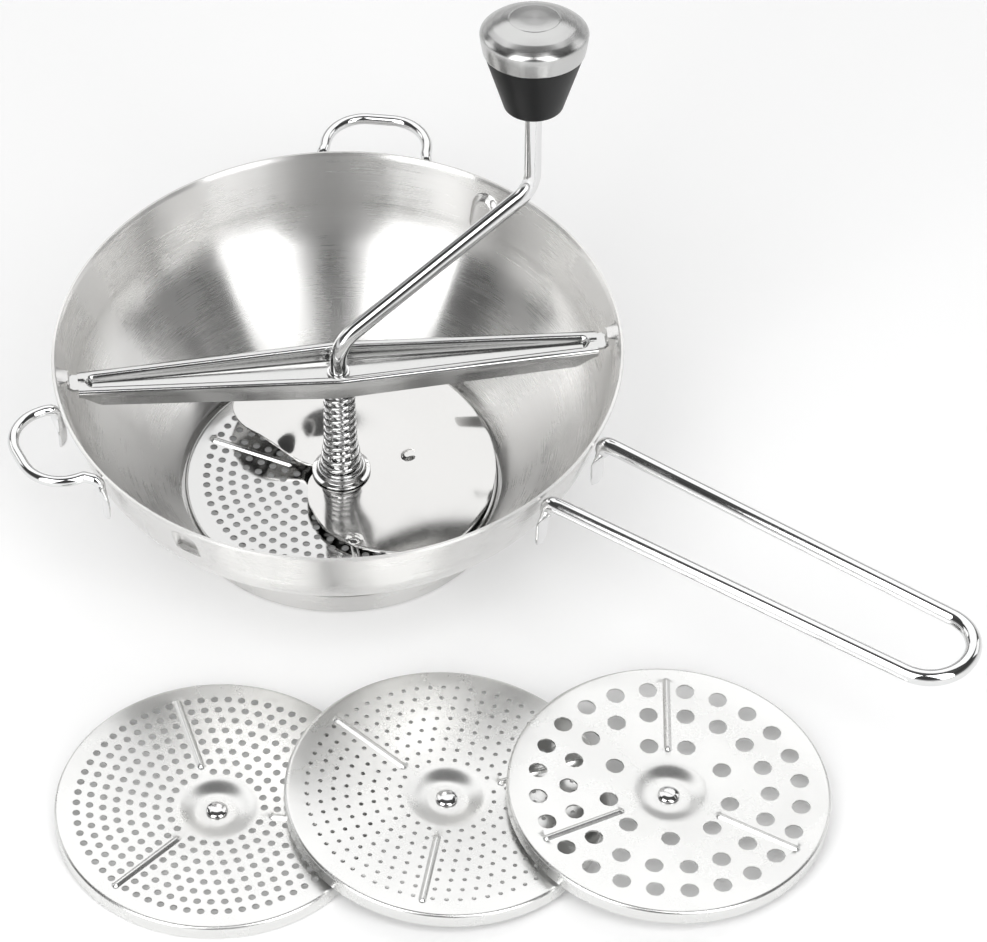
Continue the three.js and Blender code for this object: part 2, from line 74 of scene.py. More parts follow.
# Places where the bowl's wall is pressed inwards: angle, width, top, bottom and depth.
# The first kind is low on the wall, away from the bar. The second hooks the bar's ends.
LUGS = [(angle + side, width, top, bottom, depth)
        for angle, width, top, bottom, depth in ((57, 13, 80, 65, 2.6), (BAR_ANGLE, 13, 84.6, 80.8, 4.2))
        for side in (0, 180)]
BAR_TOP, BAR_HALF, BAR_SHEET, BAR_DEPTH = 79, 109.6, 1.2, 6.6
BAR_MID_WIDTH, BAR_END_WIDTH, BAR_STRIP, POCKET_END = 12.7, 6.4, 2.6, 106.5
DISC_R, DISC_TOP, SKIRT, FLAT_R = 67, 9, 6.2, 60
DISH_R, DISH, WELL_R, WELL, STUD_R = 18, 2.3, 8.5, 4.3, 4.5
ROD_R = 3.6
CRANK_ANGLE, LOW_BEND, CRANK_REACH, HIGH_BEND, UPRIGHT = radians(25), 89, 91, 142.3, 39
KNOB_LEAN, KNOB_SIDE = radians(11.3), radians(0.85)
BLADE_LOW, BLADE_SHEET, BLADE_RISE, BLADE_FLOAT = 11.2, 1.2, 8.6, 4
HUB_R, HUB_LOW, HUB_TOP, SOCKET_TOP, ROD_LOW = 5.8, 5.4, 20, 7.6, 9
HANDLE_LEVEL = 82.5
LOOSE = {
    "disc_medium": dict(x=-50.3, y=-182.5, lift=0, tilt=0, turn=-13),
    "disc_fine": dict(x=44.5, y=-181.8, lift=5.2, tilt=3.7, turn=20),
    "disc_coarse": dict(x=135.8, y=-182.2, lift=6.4, tilt=4.5, turn=-30),
}


# ---- mesh helpers ----------------------------------------------------------
def polar(r, degrees):
    return r * cos(radians(degrees)), r * sin(radians(degrees))


def clamp(x, low=0.0, high=1.0):
    return max(low, min(high, x))


def smoothstep(x, low, high):
    t = clamp((x - low) / (high - low))
    return t * t * (3 - 2 * t)


def lerp(a, b, t):
    return a + (b - a) * t


def make(name, verts, faces, sharp=35, place=None, turn=0):
    """A mesh object from millimetre points, first turned about its own Z by some degrees.

    It stands on the bowl's axis unless placed.
    """
    mesh = bpy.data.meshes.new(name)
    mesh.from_pydata([tuple(c * MM for c in v) for v in verts], [], faces)
    mesh.transform(Matrix.Rotation(radians(turn), 4, "Z"))
    bm = bmesh.new()
    bm.from_mesh(mesh)
    bmesh.ops.remove_doubles(bm, verts=bm.verts, dist=2e-7)
    bmesh.ops.recalc_face_normals(bm, faces=bm.faces)
    bm.to_mesh(mesh)
    bm.free()
    mesh.polygons.foreach_set("use_smooth", [True] * len(mesh.polygons))
    mesh.set_sharp_from_angle(angle=radians(sharp))
    obj = bpy.data.objects.new(name, mesh)
    bpy.context.scene.collection.objects.link(obj)
    obj.matrix_world = Matrix.Translation(AXIS) @ (place or Matrix.Identity(4))
    return obj


def grid_faces(rows, columns, close_rows=False, close_columns=False):
    faces = []
    for i in range(rows if close_rows else rows - 1):
        for j in range(columns if close_columns else columns - 1):
            k, m = (i + 1) % rows, (j + 1) % columns
            faces.append((i * columns + j, i * columns + m, k * columns + m, k * columns + j))
    return faces


def turned(name, outline, segments, closed=True, **more):
    """A turned mesh from [radius, height] points: a closed loop, or an open line from axis to axis."""
    verts = []
    for r, z in outline:
        for j in range(segments):
            a = 2 * pi * j / segments
            verts.append((r * cos(a), r * sin(a), z))
    faces = grid_faces(len(outline), segments, close_rows=closed, close_columns=True)
    return make(name, verts, faces, **more)


def rounded(outline, radius, steps=4, closed=True):
    """The [a, b] points with each corner replaced by a small curve."""
    points = [Vector(p) for p in outline]
    result = []
    count = len(points)
    for i, p in enumerate(points):
        if not closed and i in (0, count - 1):
            result.append(p)
            continue
        into, out = p - points[i - 1], points[(i + 1) % count] - p
        reach = min(radius, into.length * 0.45, out.length * 0.45)
        start, end = p - into.normalized() * reach, p + out.normalized() * reach
        for k in range(steps + 1):
            t = k / steps
            result.append(start * (1 - t) ** 2 + p * 2 * t * (1 - t) + end * t * t)
    return result


def rounded_path(corners, step=1.2):
    """Points along straight runs joined by arcs. Corners are (point, radius)."""
    points = [Vector(p) for p, _ in corners]
    result = [points[0]]

    def run(a, b):
        count = max(1, round((b - a).length / step / 2))
        result.extend(a.lerp(b, k / count) for k in range(1, count + 1))

    for i in range(1, len(points) - 1):
        p, radius = points[i], corners[i][1]
        into, out = (p - points[i - 1]).normalized(), (points[i + 1] - p).normalized()
        angle = into.angle(out)
        reach = radius * tan(angle / 2)
        start, end = p - into * reach, p + out * reach
        if (start - result[-1]).length > 1e-4:
            run(result[-1], start)
        centre = start + (out - into * into.dot(out)).normalized() * radius
        arm = start - centre
        count = max(4, round(radius * angle / step))
        for k in range(1, count + 1):
            t = angle * k / count
            result.append(centre + arm * cos(t) + into * radius * sin(t))
        assert (result[-1] - end).length < 0.01
    run(result[-1], points[-1])
    return result


def sweep(name, path, section, sides=20, side=None, **more):
    """A capped tube along a path. section(distance, length) gives its two half-widths."""
    tangents = []
    for i in range(len(path)):
        before, after = path[max(i - 1, 0)], path[min(i + 1, len(path) - 1)]
        tangents.append((after - before).normalized())
    normal = (side or tangents[0].orthogonal()).normalized()
    distances = [0.0]
    for a, b in zip(path, path[1:]):
        distances.append(distances[-1] + (b - a).length)
    verts = []
    for p, tangent, distance in zip(path, tangents, distances):
        normal = (normal - tangent * normal.dot(tangent)).normalized()
        other = tangent.cross(normal)
        wide, thick = section(distance, distances[-1])
        for j in range(sides):
            a = 2 * pi * j / sides
            verts.append(p + normal * wide * cos(a) + other * thick * sin(a))
    faces = grid_faces(len(path), sides, close_columns=True)
    faces.append(tuple(range(sides)))
    faces.append(tuple((len(path) - 1) * sides + j for j in range(sides)))
    return make(name, verts, faces, **more)


def thicken(obj, thickness, offset=0.0, edge=0.0, sharp=40):
    """Gives a surface its sheet thickness, and rounds the cut edges by a bevel of that width."""
    modifier = obj.modifiers.new("thickness", "SOLIDIFY")
    modifier.thickness = thickness * MM
    modifier.offset = offset
    if edge:
        modifier = obj.modifiers.new("edges", "BEVEL")
        modifier.width = edge * MM
        modifier.segments = 2
        modifier.limit_method = "ANGLE"
        modifier.angle_limit = radians(50)
    shown = obj.evaluated_get(bpy.context.evaluated_depsgraph_get())
    mesh = bpy.data.meshes.new_from_object(shown)
    obj.modifiers.clear()
    obj.data = mesh
    mesh.set_sharp_from_angle(angle=radians(sharp))


# ---- materials ---------------------------------------------------------------
class Nodes:
    """A short way to write shader nodes."""

    def __init__(self, name):
        self.material = bpy.data.materials.new(name)
        self.material.use_nodes = True
        self.tree = self.material.node_tree
        self.shader = self.tree.nodes["Principled BSDF"]

    def add(self, kind, inputs=None, **settings):
        node = self.tree.nodes.new(kind)
        for key, value in settings.items():
            setattr(node, key, value)
        for key, value in (inputs or {}).items():
            self.set(node.inputs[key], value)
        return node

    def set(self, socket, value):
        if isinstance(value, bpy.types.NodeSocket):
            self.tree.links.new(value, socket)
        else:
            socket.default_value = value

    def math(self, operation, *values):
        node = self.add("ShaderNodeMath", operation=operation)
        for socket, value in zip(node.inputs, values):
            self.set(socket, value)
        return node.outputs[0]

    def range(self, value, from_min, from_max, to_min, to_max):
        return self.add("ShaderNodeMapRange", {
            "Value": value, "From Min": from_min, "From Max": from_max,
            "To Min": to_min, "To Max": to_max}).outputs["Result"]

    def noise(self, vector, scale, detail=3.0):
        return self.add("ShaderNodeTexNoise", {
            "Vector": vector, "Scale": scale, "Detail": detail}).outputs["Fac"]

    def finish(self, color, roughness, height, depth, metallic=1.0):
        bump = self.add("ShaderNodeBump", {"Height": height, "Distance": depth})
        self.set(self.shader.inputs["Base Color"], color)
        self.set(self.shader.inputs["Roughness"], roughness)
        self.set(self.shader.inputs["Normal"], bump.outputs["Normal"])
        self.shader.inputs["Metallic"].default_value = metallic
        return self.material


def steel(name, tone, rough, brushing=None, anisotropy=0.0, fineness=1500, depth=6e-6, streak=0.06):
    """Stainless steel. brushing is "round" about the piece's own Z, or None for a polish."""
    n = Nodes(name)
    place = n.add("ShaderNodeTexCoord").outputs["Object"]
    axes = n.add("ShaderNodeSeparateXYZ", {"Vector": place})
    x, y, z = axes.outputs
    if brushing == "round":
        r = n.math("SQRT", n.math("ADD", n.math("MULTIPLY", x, x), n.math("MULTIPLY", y, y)))
        safe = n.math("MAXIMUM", r, 1e-4)
        across = n.math("ADD", n.math("MULTIPLY", r, fineness), n.math("MULTIPLY", z, fineness * 1.3))
        grain = n.add("ShaderNodeCombineXYZ", {
            "X": n.math("MULTIPLY", n.math("DIVIDE", x, safe), 2.2),
            "Y": n.math("MULTIPLY", n.math("DIVIDE", y, safe), 2.2), "Z": across}).outputs[0]
        lines = n.noise(grain, 1.0, 4.0)
    else:
        lines = n.noise(place, 900.0, 2.0)
    cloud = n.noise(place, 28.0, 3.0)
    smudge = n.range(cloud, 0.35, 0.7, -0.04, 0.05)
    fine = n.range(lines, 0.3, 0.7, -streak, streak)
    roughness = n.math("ADD", n.math("ADD", smudge, fine), rough)
    brightness = n.math("ADD", n.range(lines, 0.3, 0.7, -streak * 0.6, streak * 0.6), 1.0)
    tint = n.add("ShaderNodeVectorMath", {0: tone, "Scale": brightness}, operation="SCALE")
    if anisotropy:
        tangent = n.add("ShaderNodeTangent", direction_type="RADIAL", axis="Z")
        n.set(n.shader.inputs["Tangent"], tangent.outputs[0])
        n.shader.inputs["Anisotropic"].default_value = anisotropy
        n.shader.inputs["Anisotropic Rotation"].default_value = 0.25
    return n.finish(tint.outputs[0], roughness, lines, depth)


def plastic(name, tone, rough):
    n = Nodes(name)
    place = n.add("ShaderNodeTexCoord").outputs["Object"]
    grain = n.noise(place, 1400.0, 2.0)
    cloud = n.noise(place, 40.0, 3.0)
    roughness = n.math("ADD", n.range(cloud, 0.3, 0.7, -0.05, 0.06), rough)
    brightness = n.range(cloud, 0.3, 0.7, 0.85, 1.15)
    tint = n.add("ShaderNodeVectorMath", {0: tone, "Scale": brightness}, operation="SCALE")
    n.shader.inputs["Specular IOR Level"].default_value = 0.3
    return n.finish(tint.outputs[0], roughness, grain, 2.5e-5, metallic=0.0)


BOWL = steel("bowl_steel", (0.76, 0.755, 0.745), 0.28, "round", anisotropy=0.95, fineness=1900,
             depth=7e-7, streak=0.025)
DISC = steel("disc_steel", (0.80, 0.80, 0.79), 0.27, depth=1e-7, streak=0.01)
# A darker copy of the disc steel. Its lower tone is painted shade for the disc that sits down in the bowl;
# its lower roughness is its own.
SHADED_DISC = steel("disc_steel_painted_shade", (0.62, 0.62, 0.615), 0.1, depth=1e-7, streak=0.01)
BAND = steel("band_steel", (0.56, 0.56, 0.555), 0.26, "round", anisotropy=0.6, fineness=3600,
             depth=1e-7, streak=0.015)
WIRE = steel("wire_steel", (0.76, 0.76, 0.76), 0.05, depth=1e-7, streak=0.01)
BAR = steel("bar_steel", (0.63, 0.63, 0.625), 0.14, depth=1e-7, streak=0.02)
MIRROR = steel("blade_steel", (0.66, 0.655, 0.645), 0.09, depth=1e-7, streak=0.015)
GRIP = plastic("grip_plastic", (0.006, 0.0062, 0.0065), 0.42)


def finish(obj, material, body, *nodes):
    """Gives a piece its material, its body and the CAD nodes that it stands for."""
    obj.data.materials.clear()
    obj.data.materials.append(material)
    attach(obj, body)
    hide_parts(*nodes)
    return obj


# ---- bowl --------------------------------------------------------------------
def wall_radius(z):
    """Radius of the bowl's flank, in the middle of the sheet."""
    return RIM_R - BEAD - (RIM_Z - z) * tan(FLANK_ANGLE)


def bowl_line():
    """The middle of the bowl's sheet from the rim's bead down to the seat for the disc."""
    flank = Vector((sin(FLANK_ANGLE), cos(FLANK_ANGLE)))
    cone = Vector((cos(CONE_ANGLE), sin(CONE_ANGLE)))
    bend = Vector((BEND_R, BEND_Z))
    start, end = bend + flank * BEND_TANGENT, bend - cone * BEND_TANGENT
    cone_end = BEND_R - (BEND_Z - CHAMBER_TOP) / tan(CONE_ANGLE)
    points = [Vector((RIM_R - 0.15, RIM_Z - 1.5)), Vector((RIM_R - 0.3, RIM_Z - 0.7)),
              Vector((RIM_R - 0.75, RIM_Z - 0.62)), Vector((RIM_R - 1.1, RIM_Z - 1.5))]
    levels = [84.2, 83, 82] + [81 - 0.4 * k for k in range(46)]
    points += [Vector((wall_radius(z), z)) for z in levels]
    for k in range(17):
        t = k / 16
        points.append(start * (1 - t) ** 2 + bend * 2 * t * (1 - t) + end * t * t)
    foot = [Vector((cone_end, CHAMBER_TOP)), Vector((CHAMBER_R, CHAMBER_TOP - 1.6)),
            Vector((CHAMBER_R, SEAT_Z)), Vector((SEAT_R, SEAT_Z))]
    run = [end.lerp(foot[0], k / 12) for k in range(1, 12)]
    return points + run + rounded([run[-1], *foot], 0.7, 3, closed=False)[1:]


def lug_depth(angle, z):
    """How far the wall is pressed in at a lug: domed at the top, cut open along the bottom."""
    deepest = 0.0
    for centre, width, top, bottom, depth in LUGS:
        turn = (angle - centre + 180) % 360 - 180
        across = abs(radians(turn)) * wall_radius(z)
        half = width / 2
        if z < bottom or across > half:
            continue
        round_top = min(half, top - bottom)
        rise = max(0.0, z - (top - round_top)) / round_top
        inside = 1 - hypot(across / half, rise)
        deepest = max(deepest, depth * smoothstep(inside, 0.0, 0.32))
    return deepest


def make_bowl():
    """The bowl's sheet, with finer columns at the lugs, and slots where their lower edges are cut."""
    line = bowl_line()
    angles = [k * 1.5 for k in range(240)]
    for centre, *_ in LUGS:
        angles += [centre - 3.7 + 0.2 * k for k in range(38)]
    angles = sorted(set(round(a % 360, 3) for a in angles))
    verts = []
    for r, z in line:
        for a in angles:
            d = lug_depth(a, z) if 60 < z < 85 and r < RIM_R - 1 else 0.0
            x, y = polar(r - d, a)
            verts.append((x, y, z))
    count = len(angles)
    faces = []
    for face in grid_faces(len(line), count, close_columns=True):
        steps = [hypot(verts[i][0], verts[i][1]) - wall_radius(verts[i][2]) for i in face]
        torn = 60 < verts[face[0]][2] < 84 and max(steps) - min(steps) > 1.1
        if not torn:
            faces.append(face)
    bowl = make("bowl_shell", verts, faces, sharp=40)
    thicken(bowl, SHEET)
    return finish(bowl, BOWL, "bowl_body", "bowl")


def make_base_ring():
    sheet = 0.8
    inside = FOOT_R - sheet
    outline = rounded([
        (FOOT_LIP_R, 0), (FOOT_R, 0), (FOOT_R, FOOT_H), (inside, FOOT_H),
        (inside, sheet), (FOOT_LIP_R, sheet)], 0.35, 3)
    return finish(turned("foot_ring", outline, 192), BOWL, "bowl_body", "base_ring")


# ---- wire handles --------------------------------------------------------------
def flattened(radius, drop, flat):
    """Section of a wire whose two ends are pressed into tabs with round ends."""
    tab_thick = 1.15

    def section(distance, length):
        end = min(distance, length - distance)
        pressed = 1 - smoothstep(end, drop - 7, drop)
        wide = lerp(radius, flat, pressed)
        thick = lerp(radius, tab_thick, pressed)
        tip = clamp(end / flat)
        curve = sqrt(max(0.0, 1 - (1 - tip) ** 2))
        return max(0.05, wide * curve), max(0.05, thick * min(1.0, 0.35 + curve))
    return section


def make_long_handle():
    """A long wire loop. near and far are half its width; reach, start and pad are distances outwards."""
    near, far, reach, start, pad = 20.4, 17.8, 311, 120.6, 118.3
    bottom = RIM_Z - 28.5
    corners = [
        ((pad, near - 1.2, bottom), 0), ((pad, near - 1, 71), 8), ((start, near, 77), 4),
        ((start, near, HANDLE_LEVEL), 4.2), ((reach, far, HANDLE_LEVEL), far - 0.05),
        ((reach, -far, HANDLE_LEVEL), far - 0.05), ((start, -near, HANDLE_LEVEL), 4.2),
        ((start, -near, 77), 4), ((pad, -near - 1, 71), 8), ((pad, -near - 1.8, bottom), 0)]
    handle = sweep("handle_wire", rounded_path(corners), flattened(3.5, 22, 4.7), 24,
                   side=Vector((0, 1, 0)), turn=-34.8)
    return finish(handle, WIRE, "bowl_body", "long_handle")


def make_loop(name, node, angle, inset, lean):
    """A rest loop. inset narrows its far end on one side, and lean widens it on the other."""
    half, reach, start, pad, bottom = 23, 143.6, 119, 117.6, RIM_Z - 24
    level, neck, corner, pull = HANDLE_LEVEL, 124, 17, min(2.4, inset)
    corners = [
        ((pad, half + pull, bottom), 0), ((pad, half + pull, 72), 8), ((start, half, 78), 3),
        ((start, half, level), 3.2), ((neck, half - inset, level), 2.5),
        ((reach, half - inset, level), corner), ((reach, -half - lean, level), corner),
        ((neck, -half - lean, level), 2.5), ((start, -half, level), 3.2),
        ((start, -half, 78), 3), ((pad, -half + pull, 72), 8), ((pad, -half + pull, bottom), 0)]
    loop = sweep(name, rounded_path(corners, 0.9), flattened(2.4, 17, 3.4), 20,
                 side=Vector((0, 1, 0)), turn=angle)
    return finish(loop, WIRE, "bowl_body", node)


# ---- crossbar --------------------------------------------------------------------
BAR_FLOOR = BAR_TOP - BAR_DEPTH - BAR_SHEET


def bar_section(x):
    """Half of the pressed bar's section at x as (y, drop) points from the flange's edge."""
    outward = abs(x) / BAR_HALF
    w = lerp(BAR_MID_WIDTH, BAR_END_WIDTH, outward) - BAR_SHEET / 2
    inner = w - BAR_STRIP
    left = POCKET_END - abs(x)
    corner = min(inner, 4.5)
    if left < corner:
        inner = sqrt(max(0.0, corner ** 2 - (corner - left) ** 2)) if left > 0 else 0.0
    depth = BAR_DEPTH * lerp(1, 0.36, outward) * smoothstep(left, -0.5, 3.0)
    tip = smoothstep(abs(x), 99, BAR_HALF)
    flange = lerp(9.4, 7.6, outward) - 4.5 * tip
    top = BAR_SHEET / 2
    slope = min(0.9, inner)
    flat = max(inner - slope - 0.6, 0)
    return [
        (w, flange), (w, lerp(top, flange, 0.5)), (w, top + 0.9), (w - 0.25, top + 0.25), (w - 0.9, top),
        (inner + 0.6, top), (inner, top + 0.2), (inner - slope * 0.4, top + min(0.8, depth)),
        (inner - slope * 0.7, top + depth * 0.5), (inner - slope, top + max(depth - 0.7, 0)),
        (flat, top + depth), (flat * 0.5, top + depth)]


def make_crossbar():
    """The pressed bar, with finer rows at its ends and a hole for the rod."""
    xs = [BAR_HALF * k / 60 for k in range(52)]
    xs += [xs[-1] + (BAR_HALF - xs[-1]) * k / 44 for k in range(1, 45)]
    xs = [-x for x in reversed(xs[1:])] + xs
    rows = []
    for x in xs:
        half = bar_section(x)
        centre = (0, half[-1][1])
        line = half + [centre] + [(-y, d) for y, d in reversed(half)]
        rows.append([(x, y, BAR_TOP - d) for y, d in line])
    verts = [p for row in rows for p in row]
    columns = len(rows[0])
    faces = []
    hole = ROD_R + 1.05
    for face in grid_faces(len(rows), columns):
        if all(hypot(verts[i][0], verts[i][1]) < hole for i in face):
            continue
        faces.append(face)
    turn = Matrix.Rotation(radians(BAR_ANGLE), 4, "Z")
    bar = make("crossbar_sheet", verts, faces, sharp=50, place=turn)
    thicken(bar, BAR_SHEET, sharp=50)
    return finish(bar, BAR, "bar", "crossbar")


def make_tongues():
    """The bar's two end tongues, bent up a little where they slide under the hook lugs."""
    half, columns = 4.4, 7
    profile = [(108.4, 78.35), (110.5, 78.4), (112.4, 78.6), (114.2, 78.8)]
    verts, faces = [], []
    for side in (1, -1):
        base = len(verts)
        for r, z in profile:
            for k in range(columns):
                y = lerp(-half, half, k / (columns - 1))
                trim = 1.4 * max(0.0, abs(y) - 3.0) if r > 114 else 0.0
                verts.append((side * (r - trim), y, z))
        faces += [tuple(base + i for i in f) for f in grid_faces(len(profile), columns)]
    turn = Matrix.Rotation(radians(BAR_ANGLE), 4, "Z")
    tongues = make("crossbar_tongues", verts, faces, sharp=50, place=turn)
    thicken(tongues, 1.1, edge=0.25)
    tongues.data.materials.append(BAR)
    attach(tongues, "bar")


def make_eyelet():
    bore, low, high = ROD_R + 0.12, BAR_FLOOR - 0.9, BAR_FLOOR + BAR_SHEET + 0.3
    outline = rounded([
        (bore, low), (5.4, low), (5.4, BAR_FLOOR - 0.3), (bore + 0.65, BAR_FLOOR - 0.3),
        (bore + 0.65, high), (4.9, high), (4.9, high + 0.9), (bore, high + 0.9)], 0.35, 3)
    return finish(turned("eyelet_ring", outline, 64), WIRE, "bar", "crossbar_eyelet")


# ---- spring, washers and hub ----------------------------------------------------
SPRING_TOP = BAR_FLOOR - 0.9 - 0.3 - 1.1 - 0.3
SEAT = BLADE_LOW + BLADE_SHEET + 0.5
SPRING_LOW = SEAT + 1.2 + 0.3


def make_spring():
    """A spring with closed ends. Its squashed length is what blade_float's full travel leaves."""
    wire, turns, ground, steps = 0.9, 12.5, 0.9, 36
    low, high = SPRING_LOW + wire, SPRING_TOP - wire
    path = []
    total = turns + 2 * ground
    for k in range(int(total * steps) + 1):
        t = k / steps
        climb = clamp((t - ground) / turns)
        closed_low = wire * min(t, ground) / ground
        closed_high = wire * max(0.0, t - ground - turns) / ground
        z = low + closed_low + (high - low - 2 * wire) * climb + closed_high
        flare = smoothstep(climb, 0.0, 0.35)
        r = lerp(8.2, lerp(6.6, 5.9, climb), flare)
        path.append(Vector((r * cos(2 * pi * t), r * sin(2 * pi * t), z)))
    spring = sweep("spring_wire", path, lambda d, n: (wire, wire), 12)
    finish(spring, WIRE, "bar", "pressure_spring")
    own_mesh(spring)


def make_top_washer():
    low = SPRING_TOP + 0.3
    outline = rounded([(ROD_R + 0.5, low), (8, low), (8, low + 1.1), (ROD_R + 0.5, low + 1.1)], 0.3, 3)
    return finish(turned("top_washer_ring", outline, 64), WIRE, "bar", "spring_top_washer")


def make_seat():
    bore = HUB_R + 0.3
    outline = rounded([
        (bore, SEAT), (12.5, SEAT), (12.5, SEAT + 0.7), (10.6, SEAT + 1.2), (10.1, SEAT + 3.2),
        (9.3, SEAT + 3.2), (9.3, SEAT + 1.2), (bore, SEAT + 1.2)], 0.3, 3)
    return finish(turned("seat_cup", outline, 96), WIRE, "seat", "spring_seat")


def make_hub():
    socket, bore = STUD_R + 0.4, ROD_R + 0.3
    outline = rounded([
        (socket, HUB_LOW), (HUB_R, HUB_LOW), (HUB_R, HUB_TOP), (bore, HUB_TOP), (bore, ROD_LOW),
        (1.5, ROD_LOW), (1.5, SOCKET_TOP), (socket, SOCKET_TOP)], 0.3, 3)
    return finish(turned("hub_sleeve", outline, 64), WIRE, "crank", "blade_hub")


# ---- blade -----------------------------------------------------------------------
BLADE_R = 66
# The blade's edge as (angle, radius) points: a spiral out, a round stretch and a cut back in.
BLADE_EDGE = [
    (-170, 12.5), (-140, 18.5), (-115, 27), (-95, 37.5), (-75, 47.5), (-58, 58), (-46, BLADE_R),
    (120, BLADE_R), (134, 62.5), (146, 57), (154, 49), (159, 40), (164, 14)]
BLADE_START, BLADE_END = BLADE_EDGE[0][0], BLADE_EDGE[-1][0]
PLATE_FLAT = 13
CREASE = (50.5, 8)
DENTS = ((28.9, 6.2, 3.6), (5.6, -39.6, 3.0))


def blade_edge(angle):
    for (a, ra), (b, rb) in zip(BLADE_EDGE, BLADE_EDGE[1:]):
        if angle <= b:
            return lerp(ra, rb, (angle - a) / (b - a))
    return BLADE_EDGE[-1][1]


def blade_height(angle, r):
    """The blade's underside: a slow helix with soft waves, a crease and two dents."""
    climb = clamp((angle + 75) / 235)
    z = BLADE_LOW + BLADE_RISE * climb * smoothstep(r, PLATE_FLAT, 40)
    x, y = polar(r, angle)
    z += 0.5 * smoothstep(r, 16, 34) * sin(radians(2.2 * angle) + r / 19)
    crease = (x - CREASE[0]) * cos(radians(12)) + (y - CREASE[1]) * sin(radians(12))
    z += 0.7 * smoothstep(crease, -1.5, 1.5) * (1 - smoothstep(abs(y - 4), 14, 26))
    for nx, ny, size in DENTS:
        away = hypot(x - nx, y - ny)
        z += 0.9 * (1 - smoothstep(away, 0.4 * size, size))
    return z


def make_blade():
    """The blade's sheet. Its edge is averaged over a few degrees, which rounds its corners."""
    slices, steps = 260, 46
    angles = [lerp(BLADE_START, BLADE_END, k / slices) for k in range(slices + 1)]
    verts = []
    for a in angles:
        near = [blade_edge(clamp(a + d, BLADE_START, BLADE_END)) for d in (-3, -1.5, 0, 1.5, 3)]
        edge = sum(near) / len(near)
        for k in range(steps + 1):
            r = lerp(HUB_R + 0.3, edge, k / steps)
            x, y = polar(r, a)
            verts.append((x, y, blade_height(a, r) + BLADE_SHEET / 2))
    blade = make("blade_sheet", verts, grid_faces(len(angles), steps + 1), sharp=60)
    thicken(blade, BLADE_SHEET, edge=0.3)
    return finish(blade, MIRROR, "crank", "blade")


# ---- crank and knob --------------------------------------------------------------
upright = Vector((sin(KNOB_SIDE), sin(KNOB_LEAN), 0))
upright.z = sqrt(1 - upright.x ** 2 - upright.y ** 2)
elbow = Vector((CRANK_REACH * cos(CRANK_ANGLE), CRANK_REACH * sin(CRANK_ANGLE), HIGH_BEND))
knob_base = elbow + upright * UPRIGHT
ROD_IN_KNOB = 30


def make_rod():
    corners = [
        ((0, 0, ROD_LOW + 0.3), 0), ((0, 0, LOW_BEND), 17), (elbow, 15),
        (knob_base + upright * ROD_IN_KNOB, 0)]
    rod = sweep("crank_wire", rounded_path(corners, 0.8), lambda d, n: (ROD_R, ROD_R), 32)
    return finish(rod, WIRE, "crank", "crank_rod")


def make_knob():
    stand = Vector((0, 0, 1)).rotation_difference(upright).to_matrix().to_4x4()
    place = Matrix.Translation(knob_base * MM) @ stand
    low_r, high_r, grip_h, bore = 12.5, 20.8, 27.7, 6
    cap_h, r, t = 9.4, 22.8, 0.9
    grip = rounded([
        (bore, 0), (low_r - 2.4, 0), (low_r - 0.2, 1.5), (high_r, grip_h),
        (high_r - 1, grip_h + 0.05), (high_r - 1.3, grip_h + 4), (bore, grip_h + 4)], 0.9, 5)
    finish(turned("grip_cone", grip, 128, place=place), GRIP, "knob", "knob_grip")
    sleeve = rounded([
        (ROD_R + 0.1, 0.4), (bore - 0.3, 0.4), (bore - 0.3, 27), (ROD_R + 0.1, 27)], 0.3, 3)
    finish(turned("grip_sleeve", sleeve, 64, place=place), GRIP, "knob", "knob_sleeve")
    low = grip_h + 0.3
    high = low + cap_h
    outer = [(0, high + 7), (6, high + 6.95), (10.4, high + 6.75), (10.75, high + 6.5), (11.3, high + 6.3),
             (14, high + 5.6), (17.5, high + 4.2), (20, high + 2.7), (21.7, high + 1.3), (22.5, high + 0.35),
             (r, high - 0.6), (r - 0.3, high - 3), (r - 1.3, low + 0.6), (r - 1.6, low)]
    inner = [(r - 1.6 - t, low), (r - t, high - 1.2), (17, high + 3.2), (10.4, high + 5.7), (0, high + 6)]
    cap = turned("cap_dome", rounded(outer + inner, 0.35, 2, closed=False), 160, closed=False,
                 place=place, sharp=50)
    finish(cap, BAND, "knob", "knob_cap")
    top = ROD_IN_KNOB + 0.3
    retainer = rounded([(0, top), (5, top), (5, top + 1), (0, top + 1)], 0.25, 3, closed=False)
    finish(turned("retainer_disc", retainer, 48, closed=False, place=place), WIRE, "crank", "knob_retainer")


# ---- sieve discs ------------------------------------------------------------------
def ring_holes(rings, hole_r, margin):
    """Hole centres in three sectors, kept off the ribs. rings are (radius, holes in a sector)."""
    holes = []
    for radius, count in rings:
        clear = asin(margin / radius)
        for third in range(3):
            for i in range(count):
                a = radians(120 * third) + lerp(clear, radians(120) - clear, i / (count - 1))
                holes.append((radius * cos(a), radius * sin(a), hole_r))
    return holes


SIEVE_RINGS = [(57.7 - 5.45 * k, 21 - 2 * k) for k in range(8)]
MEDIUM = ring_holes(SIEVE_RINGS, 1.6, 4.0)
FINE = ring_holes(SIEVE_RINGS, 0.95, 4.0)
COARSE = ring_holes([(54.5, 8), (41.5, 6), (25.5, 3)], 3.9, 7.7)
RIB_IN, RIB_OUT, RIB_HALF, RIB_H = 23, 60, 1.6, 1.1


